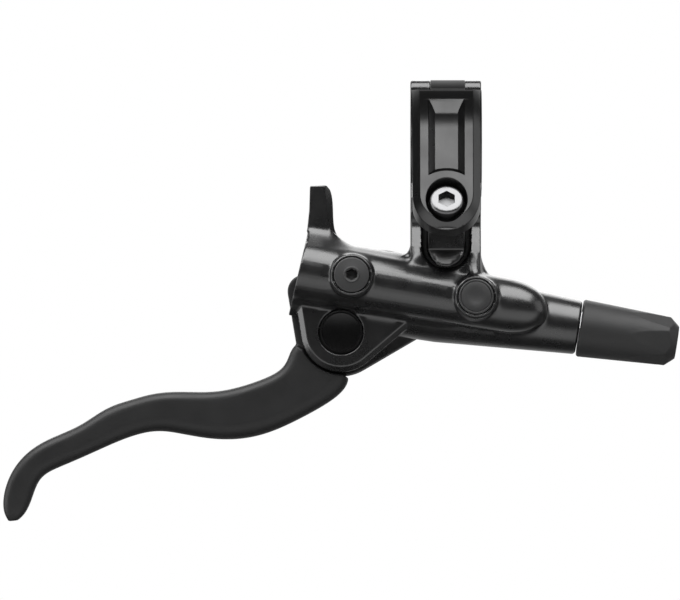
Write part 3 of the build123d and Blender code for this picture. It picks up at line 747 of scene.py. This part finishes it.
@dataclass
class CastBody:
    """The cast body with its soft edges and wide fillets."""

    cell: float = 0.27 * MM
    passes: int = 12
    triangles: int = 192000
    fillets: tuple[CastFillet, ...] = (
        CastFillet(
            ends=(-34.2 * MM, -29.2 * MM),
            face=(-3.0 * MM, -3.0 * MM),
            high=(-21.2 * MM, -21.9 * MM),
            touch=(58.0, 58.0),
            slant=0.215,
        ),
        CastFillet(
            ends=(-29.2 * MM, -23.2 * MM),
            face=(-3.0 * MM, -1.5 * MM),
            high=(-21.9 * MM, -27.2 * MM),
            touch=(58.0, 66.0),
        ),
        CastFillet(
            ends=(-23.2 * MM, -8.9 * MM),
            face=(-1.5 * MM, -1.5 * MM),
            high=(-27.2 * MM, -28.4 * MM),
            touch=(66.0, 66.0),
        ),
    )
    scoops: tuple[CastRail, ...] = (
        CastRail(-9.3 * MM, -5.8 * MM, SCOOP, (1.1, -0.35)),
        CastRail(5.8 * MM, 9.3 * MM, SCOOP, (-0.35, 1.1)),
    )
    rail_foot: CastRail = CastRail(5.7 * MM, 8.6 * MM, RAIL_FOOT, (-0.1, 0.8))
    land_radius: float = 4.35 * MM
    land_thickness: float = 1.3 * MM
    land_edge: float = 0.35 * MM
    land_middle: Triple = (0.0, -9.5 * MM, -27.2 * MM)
    land_lean: float = math.radians(21.0)
    boss_stations: tuple[float, float] = (BLEED_STATION, FILL_STATION)
    boss_rim: tuple[float, float] = (4.95 * MM, 8.8 * MM)
    boss_fall: float = 0.5
    boss_clear: float = 7.4 * MM
    boss_gap: float = 0.12 * MM
    overshoot: float = 1.0 * MM
    soft: tuple[tuple[Triple, Triple, int], ...] = (
        ((-36.0, -12.0, -29.0), (-24.0, -2.9, -20.0), 25),
        ((-30.0, -10.0, -31.0), (-9.2, -2.4, -24.5), 50),
        ((7.9, -11.5, -40.0), (18.0, 1.0, -29.5), 70),
        ((12.0, -12.0, -51.0), (31.0, 0.0, -35.0), 70),
        ((-20.3, -7.5, -46.2), (-12.5, -2.5, -40.5), 90),
        ((-32.2, -7.5, -42.2), (-20.3, -3.0, -39.8), 40),
        ((-10.0, -12.0, -33.5), (-5.9, -3.0, -26.5), 60),
        ((-9.8, -12.0, -35.0), (-2.5, -5.5, -27.8), 60),
        ((1.0, -12.0, -36.5), (9.6, -5.5, -29.0), 60),
        ((5.3, -12.0, -36.5), (10.0, -3.0, -28.0), 110),
        ((-6.0, -12.0, -34.5), (6.0, -5.0, -31.8), 40),
    )

    def land(self) -> bpy.types.Object:
        """Models the sloping land at the foot of the recess: a disc that leans back.

        Returns:
            The land's stock.
        """
        land = Bench.round_bar("land", self.land_radius, -self.land_thickness, 0.0)
        Bench.select(land, Bench.looks_up)
        bpy.ops.mesh.bevel(offset=self.land_edge, segments=4, affect="EDGES")
        bpy.ops.object.mode_set(mode="OBJECT")
        axis = (0, -math.cos(self.land_lean), math.sin(self.land_lean))
        Bench.stand(land, self.land_middle, axis)
        return land

    def boss_cutter(self, station: float) -> bpy.types.Object:
        """Models the tool that turns a cap's boss to a cone: a bar with a cone taken out.

        Args:
            station: The boss's place along the reservoir.

        Returns:
            The tool, in its place.
        """
        radius, high = self.boss_rim
        low = RESERVOIR.section(RESERVOIR.start.x + station)[1] + self.boss_gap
        core_low, core_high = low - self.overshoot, high + self.overshoot
        tool = Bench.round_bar("boss_cutter", self.boss_clear, low, high)
        core = Bench.round_bar("boss_core", radius, core_low, core_high)
        for end, level in ((Bench.looks_up, core_high), (Bench.looks_down, core_low)):
            share = 1 + self.boss_fall * (high - level) / radius
            Bench.select(core, end)
            bpy.ops.transform.resize(value=(share, share, 1))
        bpy.ops.object.mode_set(mode="OBJECT")
        Bench.cut(tool, core)
        RESERVOIR.seat(tool, station)
        return tool

    def build(self) -> None:
        """Makes the softened casting."""
        tools = [scoop.build() for scoop in self.scoops]
        tools += [self.boss_cutter(station) for station in self.boss_stations]
        tools.append(SpineBevel().build())
        stock = [fillet.build() for fillet in self.fillets]
        stock += [self.rail_foot.build(), self.land()]
        casting = Bench.softened(
            "master_cylinder_body", "casting", self.cell, self.passes, stock, tools
        )
        for low, high, passes in self.soft:
            Bench.melt(casting, [c * MM for c in low], [c * MM for c in high], passes)
        Bench.thin(casting, self.triangles)
        Bench.paint(casting, SATIN_CASTING)
        Bench.fit(casting, Body.BODY, Slot.CASTING, "master_cylinder_body")


@dataclass
class ClampHalf:
    """The hinged half of the clamp."""

    edge: float = 0.16 * MM
    flat: float = math.radians(0.3)

    def build(self) -> None:
        """Makes the clamp half with its edges broken, as tumbling leaves them."""
        band = Bench.copy("clamp_band", "clamp_half")
        bpy.ops.object.mode_set(mode="EDIT")
        bpy.ops.mesh.select_all(action="SELECT")
        bpy.ops.mesh.dissolve_limited(angle_limit=self.flat)
        bpy.ops.object.mode_set(mode="OBJECT")
        Bench.ease(band, self.edge)
        even = band.modifiers.new("even", "WEIGHTED_NORMAL")
        even.keep_sharp = True
        Bench.apply(band)
        Bench.paint(band, ANODISED_BAND)
        Bench.fit(band, Body.BAND, Slot.BAND, "clamp_band")


@dataclass
class Blade:
    """The lever blade."""

    cell: float = 0.34 * MM
    passes: int = 10

    def build(self) -> None:
        """Makes the softened blade."""
        blade = Bench.softened("lever_blade", "blade", self.cell, self.passes)
        Bench.paint(blade, BLADE_COAT)
        Bench.fit(blade, Body.LEVER, Slot.BLADE, "lever_blade")


@dataclass
class ClampScrew:
    """The socket head bolt of the clamp, with its thread."""

    origin: Triple = (0.0, -12.254 * MM, -18.870 * MM)
    axis: Triple = (0.0, -0.83867, 0.54464)
    seat: float = 2.9 * MM
    top: float = 7.9 * MM
    head_radius: float = 4.25 * MM
    head_rim: float = 0.95 * MM
    head_edge: float = 0.08 * MM
    key_flats: float = 4.0 * MM
    key_depth: float = 2.6 * MM
    key_clear: float = 1.0 * MM
    shank_radius: float = 2.1 * MM
    thread_depth: float = 0.28 * MM
    thread_sink: float = 0.04 * MM
    thread_end: float = 0.4 * MM
    thread_steps: int = 40
    thread_corners: tuple[float, float, float, float] = (0.0, 0.36, 0.52, 0.88)
    pitch: float = 0.8 * MM
    tip: float = -8.2 * MM
    point: float = -6.7 * MM
    point_radius: float = 1.2 * MM

    def head(self) -> bpy.types.Object:
        """Models the head: a round bar with a bevelled rim and a hexagon socket.

        Returns:
            The head.
        """
        head = Bench.round_bar("clamp_screw", self.head_radius, self.seat, self.top)
        Bench.select(head, Bench.looks_up)
        bpy.ops.mesh.bevel(offset=self.head_rim, segments=5, affect="EDGES")
        bpy.ops.object.mode_set(mode="OBJECT")
        corner = self.key_flats / math.sqrt(3)
        key = Bench.round_bar(
            "key", corner, self.top - self.key_depth, self.top + self.key_clear, 6
        )
        Bench.cut(head, key)
        Bench.ease(head, self.head_edge)
        return head

    def shank(self) -> bpy.types.Object:
        """Models the shank: a core with a cut thread that ends in a point.

        Returns:
            The shank.
        """
        root = self.shank_radius - self.thread_depth
        core = Bench.round_bar("core", root, self.point, self.seat, 48)
        Bench.select(core, Bench.looks_down)
        Bench.step(self.tip - self.point)
        share = self.point_radius / root
        bpy.ops.transform.resize(value=(share, share, 1))
        bpy.ops.object.mode_set(mode="OBJECT")
        turns = int((self.seat - self.thread_end - self.point) / self.pitch)
        mesh = bpy.data.meshes.new("thread")
        outer = self.shank_radius
        inner = root - self.thread_sink
        corners = zip((inner, outer, outer, inner), self.thread_corners)
        edges = [(0, 1), (1, 2), (2, 3), (3, 0)]
        mesh.from_pydata([(r, 0, self.point + h * self.pitch) for r, h in corners], edges, [])
        thread = bpy.data.objects.new("thread", mesh)
        bpy.context.scene.collection.objects.link(thread)
        wind = thread.modifiers.new("wind", "SCREW")
        wind.angle = 2 * math.pi
        wind.screw_offset = self.pitch
        wind.iterations = turns
        wind.steps = self.thread_steps
        wind.render_steps = self.thread_steps
        wind.use_normal_calculate = True
        Bench.apply(thread)
        bpy.ops.object.mode_set(mode="EDIT")
        bpy.ops.mesh.select_all(action="SELECT")
        bpy.ops.mesh.remove_doubles(threshold=THREAD_GAP)
        bpy.ops.mesh.fill_holes(sides=8)
        bpy.ops.mesh.normals_make_consistent(inside=False)
        bpy.ops.object.mode_set(mode="OBJECT")
        bpy.ops.object.shade_smooth_by_angle(angle=SHADE_ANGLE)
        Bench.join(core, thread)
        return core

    def build(self) -> None:
        """Makes the whole bolt."""
        bolt = self.head()
        Bench.join(bolt, self.shank())
        Bench.stand(bolt, self.origin, self.axis)
        Bench.paint(bolt, BOLT_STEEL)
        Bench.fit(bolt, Body.BOLT, Slot.BOLT, "clamp_bolt")


@dataclass
class RoundCap:
    """A round plug cap on the reservoir."""

    name: str
    node: str
    station: float
    foot: float = 3.4 * MM
    seat: float = 7.5 * MM
    top: float = 9.0 * MM
    radius: float = 4.4 * MM
    rim: float = 0.3 * MM
    edge: float = 0.1 * MM
    plug_radius: float = 2.6 * MM
    plug_edge: float = 0.2 * MM
    plug_overlap: float = 0.2 * MM

    def blank(self) -> bpy.types.Object:
        """Models the plain head of the cap, with a rounded rim.

        Returns:
            The cap, still on the Z axis.
        """
        cap = Bench.round_bar(self.name, self.radius, self.seat, self.top)
        Bench.select(cap, Bench.looks_up)
        bpy.ops.mesh.bevel(offset=self.rim, segments=4, affect="EDGES")
        bpy.ops.object.mode_set(mode="OBJECT")
        return cap

    def finish(self, cap: bpy.types.Object) -> None:
        """Adds the plug, eases the edges, places and paints the cap.

        Args:
            cap: The cap's head, still on the Z axis.
        """
        Bench.ease(cap, self.edge)
        plug_top = self.seat + self.plug_overlap
        plug = Bench.round_bar("plug", self.plug_radius, self.foot, plug_top, 64)
        Bench.ease(plug, self.plug_edge)
        Bench.join(cap, plug)
        RESERVOIR.seat(cap, self.station)
        Bench.paint(cap, CAP_PLASTIC)
        Bench.fit(cap, Body.BODY, Slot.CAP, self.node)


@dataclass
class BleedScrew(RoundCap):
    """The bleed screw, with a raised ring round its hexagon socket."""

    ring_inset: float = 2.1 * MM
    ring_width: float = 0.38 * MM
    ring_height: float = 0.16 * MM
    key_inradius: float = 1.25 * MM
    key_depth: float = 1.6 * MM
    key_clear: float = 1.0 * MM

    def build(self) -> None:
        """Makes the bleed screw."""
        cap = self.blank()
        Bench.select(cap, Bench.lies_flat)
        bpy.ops.mesh.inset(thickness=self.ring_inset)
        Bench.step(self.ring_height)
        bpy.ops.mesh.inset(thickness=self.ring_width)
        Bench.step(-self.ring_height)
        bpy.ops.object.mode_set(mode="OBJECT")
        corner = self.key_inradius * 2 / math.sqrt(3)
        key = Bench.round_bar(
            "key", corner, self.top - self.key_depth, self.top + self.key_clear, 6
        )
        Bench.cut(cap, key)
        self.finish(cap)


@dataclass
class FillCap(RoundCap):
    """The reservoir cap, with a fine groove near its rim and a shallow round dish."""

    groove_inset: float = 0.22 * MM
    groove_width: float = 0.16 * MM
    groove_depth: float = 0.12 * MM
    dish_inset: float = 1.9 * MM
    dish_slope: float = 0.35 * MM
    dish_depth: float = 0.10 * MM

    def build(self) -> None:
        """Makes the reservoir cap."""
        cap = self.blank()
        Bench.select(cap, Bench.lies_flat)
        bpy.ops.mesh.inset(thickness=self.groove_inset)
        Bench.step(-self.groove_depth)
        bpy.ops.mesh.inset(thickness=self.groove_width)
        Bench.step(self.groove_depth)
        bpy.ops.mesh.inset(thickness=self.dish_inset)
        bpy.ops.mesh.inset(thickness=self.dish_slope)
        bpy.ops.transform.translate(value=(0, 0, -self.dish_depth))
        bpy.ops.object.mode_set(mode="OBJECT")
        self.finish(cap)


@dataclass
class PivotPin:
    """The headed pin that the lever turns on."""

    origin: Triple = (-26.247 * MM, 3.5 * MM, -47.744 * MM)
    seat: float = 5.9 * MM
    head: float = 1.2 * MM
    head_radius: float = 4.8 * MM
    head_rim: float = 0.35 * MM
    head_dish: float = 0.12 * MM
    edge: float = 0.12 * MM
    radius: float = 3.0 * MM
    end: float = -9.15 * MM
    groove: tuple[float, float] = (-8.45 * MM, -7.6 * MM)
    groove_depth: float = 0.5 * MM

    def build(self) -> None:
        """Models the pin from its tail up: shaft, circlip groove, shaft and dished head."""
        pin = Bench.round_bar("pivot_pin", self.radius, self.end, self.groove[0], 80)
        Bench.select(pin, Bench.looks_up)
        bpy.ops.mesh.inset(thickness=self.groove_depth)
        Bench.step(self.groove[1] - self.groove[0])
        Bench.step(0)
        wide = self.radius / (self.radius - self.groove_depth)
        bpy.ops.transform.resize(value=(wide, wide, 1))
        Bench.step(self.seat - self.groove[1])
        Bench.step(0)
        wide = self.head_radius / self.radius
        bpy.ops.transform.resize(value=(wide, wide, 1))
        Bench.step(self.head)
        bpy.ops.mesh.inset(thickness=self.head_rim)
        bpy.ops.transform.translate(value=(0, 0, -self.head_dish))
        bpy.ops.object.mode_set(mode="OBJECT")
        Bench.ease(pin, self.edge)
        Bench.stand(pin, self.origin, (0, -1, 0))
        Bench.paint(pin, DARK_STEEL)
        Bench.fit(pin, Body.BODY, Slot.PIN, "lever_pivot_pin")


@dataclass
class HoseCover:
    """The moulded cover of the hose fitting."""

    cell: float = 0.2 * MM
    passes: int = 5

    def build(self) -> None:
        """Makes the softened cover."""
        cover = Bench.softened("hose_cover", "moulded_cover", self.cell, self.passes)
        Bench.paint(cover, COVER_PLASTIC)
        Bench.fit(cover, Body.BODY, Slot.COVER, "hose_cover")


@dataclass
class ReturnSpring:
    """The coil spring behind the piston; the real one shortens as the piston comes down the bore,
    and this copy keeps its rest length.
    """

    axis: Triple = (0.9886, 0.0, -0.15057)
    travel: float = 3.8 * MM

    def build(self) -> None:
        """Makes the spring from its node's solid, shaded smooth and painted, and sets it on the
        body.
        """
        spring = Bench.copy("piston_return_spring", "return_spring")
        bpy.ops.object.shade_smooth()
        Bench.paint(spring, BRIGHT_STEEL)
        Bench.fit(spring, Body.BODY, Slot.BRIGHT, "piston_return_spring")
        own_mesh(spring)


@dataclass
class PlainNodes:
    """The nodes whose solids are shown as they are."""

    finishes: dict[str, Finish] = field(default_factory=lambda: {
        "clamp_hinge_pin": DARK_STEEL,
        "bleed_screw_seal": SEAL_RUBBER,
        "reservoir_cap_seal": SEAL_RUBBER,
        "reservoir_bladder": SEAL_RUBBER,
        "pivot_circlip": DARK_STEEL,
        "pivot_bush_front": SOFT_BRASS,
        "pivot_bush_rear": SOFT_BRASS,
        "pushrod_barrel_nut": BRIGHT_STEEL,
        "reach_adjust_pushrod": BRIGHT_STEEL,
        "piston": INNER_ALLOY,
        "primary_cup_seal": SEAL_RUBBER,
        "secondary_cup_seal": SEAL_RUBBER,
        "piston_stop_ring": BRIGHT_STEEL,
        "hose_connecting_bolt": BRIGHT_STEEL,
        "hose_olive": SOFT_BRASS,
    })

    def dress(self) -> None:
        """Gives each node its finish."""
        for node, finish in self.finishes.items():
            Bench.paint(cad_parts[node], finish)
            LOG.info("%s is %s", node, finish.name)


@dataclass(frozen=True)
class Softbox:
    """A soft lamp: where it hangs from the lever's middle, its size, and how bright its face is."""

    name: str
    place: Triple
    size: tuple[float, float]
    radiance: float
    flag: Flag | None = None


@dataclass
class Studio:
    """Camera, lamps, floor and the white surroundings.

    Lengths are in metres. The steps of the card and the back are heights and depths on a ball of
    radius 1 round the lever.
    """

    centre: Triple = (-0.0265, 0.0, -0.03975)
    distance: float = 3.0
    frame_width: float = 0.170
    sensor: float = 36.0
    clip: tuple[float, float] = (0.01, 20.0)
    floor_height: float = -0.16
    floor_radius: float = 0.45
    floor_grey: float = 0.86
    floor_roughness: float = 0.8
    surround: float = 0.55
    card: float = 0.9
    card_top: tuple[float, float] = (-0.12, -0.42)
    card_foot: tuple[float, float] = (-0.97, -0.78)
    card_front: tuple[float, float] = (0.0, -0.35)
    back: float = 0.5
    back_rim: tuple[float, float] = (0.35, 0.95)
    dark: float = 0.05
    flagged: str = "clamp_half"
    lamps: tuple[Softbox, ...] = (
        Softbox("top_softbox", (0.0, -0.22, 0.48), (1.2, 0.52), 5.0, Flag.LEAVES_IT_OUT),
        Softbox("front_softbox", (0.0, -0.82, 0.365), (0.5, 0.40), 3.4, Flag.LIGHTS_IT_ALONE),
        Softbox("left_softbox", (-0.7, -0.05, 0.06), (0.45, 0.85), 2.5, Flag.LEAVES_IT_OUT),
        Softbox("right_softbox", (0.7, -0.05, 0.10), (0.45, 0.45), 0.8),
        Softbox("back_softbox", (0.0, 0.75, 0.42), (0.9, 0.5), 2.2, Flag.LEAVES_IT_OUT),
    )

    def camera(self) -> None:
        """Sets a long lens straight in front of the lever's plane."""
        lens = bpy.data.cameras.new("camera")
        lens.sensor_width = self.sensor
        lens.lens = self.sensor * self.distance / self.frame_width
        lens.clip_start, lens.clip_end = self.clip
        camera = bpy.data.objects.new("camera", lens)
        camera.location = (self.centre[0], -self.distance, self.centre[2])
        camera.rotation_euler = (math.pi / 2, 0, 0)
        bpy.context.scene.collection.objects.link(camera)
        bpy.context.scene.camera = camera

    def hang(self, softbox: Softbox) -> None:
        """Hangs one soft lamp that faces the lever, with its flag if it has one.

        Args:
            softbox: The lamp.
        """
        light = bpy.data.lights.new(softbox.name, "AREA")
        light.shape = "RECTANGLE"
        light.size, light.size_y = softbox.size
        light.energy = softbox.radiance * math.pi * softbox.size[0] * softbox.size[1]
        place = Vector(softbox.place)
        lamp = bpy.data.objects.new(softbox.name, light)
        lamp.location = Vector(self.centre) + place
        lamp.rotation_euler = (-place).to_track_quat("-Z", "Y").to_euler()
        bpy.context.scene.collection.objects.link(lamp)
        if softbox.flag:
            flag = bpy.data.collections.new(f"{softbox.name}_flag")
            lamp.light_linking.receiver_collection = flag
            flag.objects.link(bpy.data.objects[self.flagged])
            flag.collection_objects[0].light_linking.link_state = softbox.flag.value

    def floor(self) -> None:
        """Lays a pale round floor well below the lever."""
        bpy.ops.object.select_all(action="DESELECT")
        bpy.ops.mesh.primitive_circle_add(
            vertices=96,
            radius=self.floor_radius,
            fill_type="NGON",
            location=(0, 0, self.floor_height),
        )
        floor = bpy.context.object
        floor.name = "floor"
        material = bpy.data.materials.new("pale floor")
        material.use_nodes = True
        shader = material.node_tree.nodes["Principled BSDF"]
        shader.inputs["Base Color"].default_value = (*[self.floor_grey] * 3, 1.0)
        shader.inputs["Roughness"].default_value = self.floor_roughness
        floor.data.materials.append(material)
        floor.visible_glossy = False

    @staticmethod
    def ramp(
        tree: bpy.types.NodeTree, value: bpy.types.NodeSocket, ends: tuple[float, float]
    ) -> bpy.types.NodeSocket:
        """Adds a smooth step to the surroundings' nodes.

        Args:
            tree: The surroundings' nodes.
            value: What the step reads.
            ends: Where the step is 0 and where it is 1; the second may lie below the first.

        Returns:
            The step's output.
        """
        step = tree.nodes.new("ShaderNodeMapRange")
        step.interpolation_type = "SMOOTHSTEP"
        rises = ends[0] < ends[1]
        step.inputs["From Min"].default_value = min(ends)
        step.inputs["From Max"].default_value = max(ends)
        step.inputs["To Min"].default_value = 0.0 if rises else 1.0
        step.inputs["To Max"].default_value = 1.0 if rises else 0.0
        tree.links.new(value, step.inputs["Value"])
        return step.outputs["Result"]

    @staticmethod
    def combine(
        tree: bpy.types.NodeTree,
        operation: str,
        first: bpy.types.NodeSocket,
        second: bpy.types.NodeSocket | float,
    ) -> bpy.types.NodeSocket:
        """Adds one sum to the surroundings' nodes.

        Args:
            tree: The surroundings' nodes.
            operation: The sum, as Blender names it.
            first: Its first value.
            second: Its second value.

        Returns:
            The sum's output.
        """
        node = tree.nodes.new("ShaderNodeMath")
        node.operation = operation
        tree.links.new(first, node.inputs[0])
        if isinstance(second, float):
            node.inputs[1].default_value = second
        else:
            tree.links.new(second, node.inputs[1])
        return node.outputs[0]

    def surroundings(self) -> None:
        """Makes a white background, plain light, and a dark room with a pale card to reflect."""
        world = bpy.data.worlds.new("studio")
        bpy.context.scene.world = world
        world.use_nodes = True
        tree = world.node_tree
        tree.nodes.clear()
        out = tree.nodes.new("ShaderNodeOutputWorld")
        path = tree.nodes.new("ShaderNodeLightPath")
        place = tree.nodes.new("ShaderNodeTexCoord")
        split = tree.nodes.new("ShaderNodeSeparateXYZ")
        tree.links.new(place.outputs["Generated"], split.inputs["Vector"])
        depth = split.outputs["Y"]
        height = split.outputs["Z"]
        top = self.ramp(tree, height, self.card_top)
        card = self.combine(tree, "MULTIPLY", top, self.ramp(tree, height, self.card_foot))
        card = self.combine(tree, "MULTIPLY", card, self.ramp(tree, depth, self.card_front))
        card = self.combine(tree, "MULTIPLY", card, self.card)
        back = self.combine(tree, "MULTIPLY", self.ramp(tree, depth, self.back_rim), self.back)
        room = self.combine(tree, "ADD", self.combine(tree, "ADD", card, back), self.dark)
        glossy, clear = path.outputs["Is Glossy Ray"], path.outputs["Is Transmission Ray"]
        seen = self.combine(tree, "MAXIMUM", glossy, clear)
        mirrored = tree.nodes.new("ShaderNodeMix")
        mirrored.data_type = "FLOAT"
        mirrored.inputs["A"].default_value = self.surround
        tree.links.new(seen, mirrored.inputs["Factor"])
        tree.links.new(room, mirrored.inputs["B"])
        strength = tree.nodes.new("ShaderNodeMix")
        strength.data_type = "FLOAT"
        strength.inputs["B"].default_value = 1.0
        tree.links.new(path.outputs["Is Camera Ray"], strength.inputs["Factor"])
        tree.links.new(mirrored.outputs["Result"], strength.inputs["A"])
        shine = tree.nodes.new("ShaderNodeBackground")
        shine.inputs["Color"].default_value = (1, 1, 1, 1)
        tree.links.new(strength.outputs["Result"], shine.inputs["Strength"])
        tree.links.new(shine.outputs["Background"], out.inputs["Surface"])

    def build(self) -> None:
        """Sets up the whole studio."""
        bpy.context.scene.view_settings.view_transform = "Standard"
        self.camera()
        self.floor()
        self.surroundings()
        for softbox in self.lamps:
            self.hang(softbox)


def main() -> None:
    """Builds the pieces in order and then the studio."""
    logging.basicConfig(level=logging.INFO, format="%(name)s: %(message)s")
    CastBody().build()
    ClampHalf().build()
    Blade().build()
    ClampScrew().build()
    BleedScrew("bleed_cap", "bleed_screw", BLEED_STATION).build()
    FillCap("fill_cap", "reservoir_cap", FILL_STATION).build()
    PivotPin().build()
    HoseCover().build()
    ReturnSpring().build()
    PlainNodes().dress()
    Studio().build()


if __name__ == "__main__":
    main()
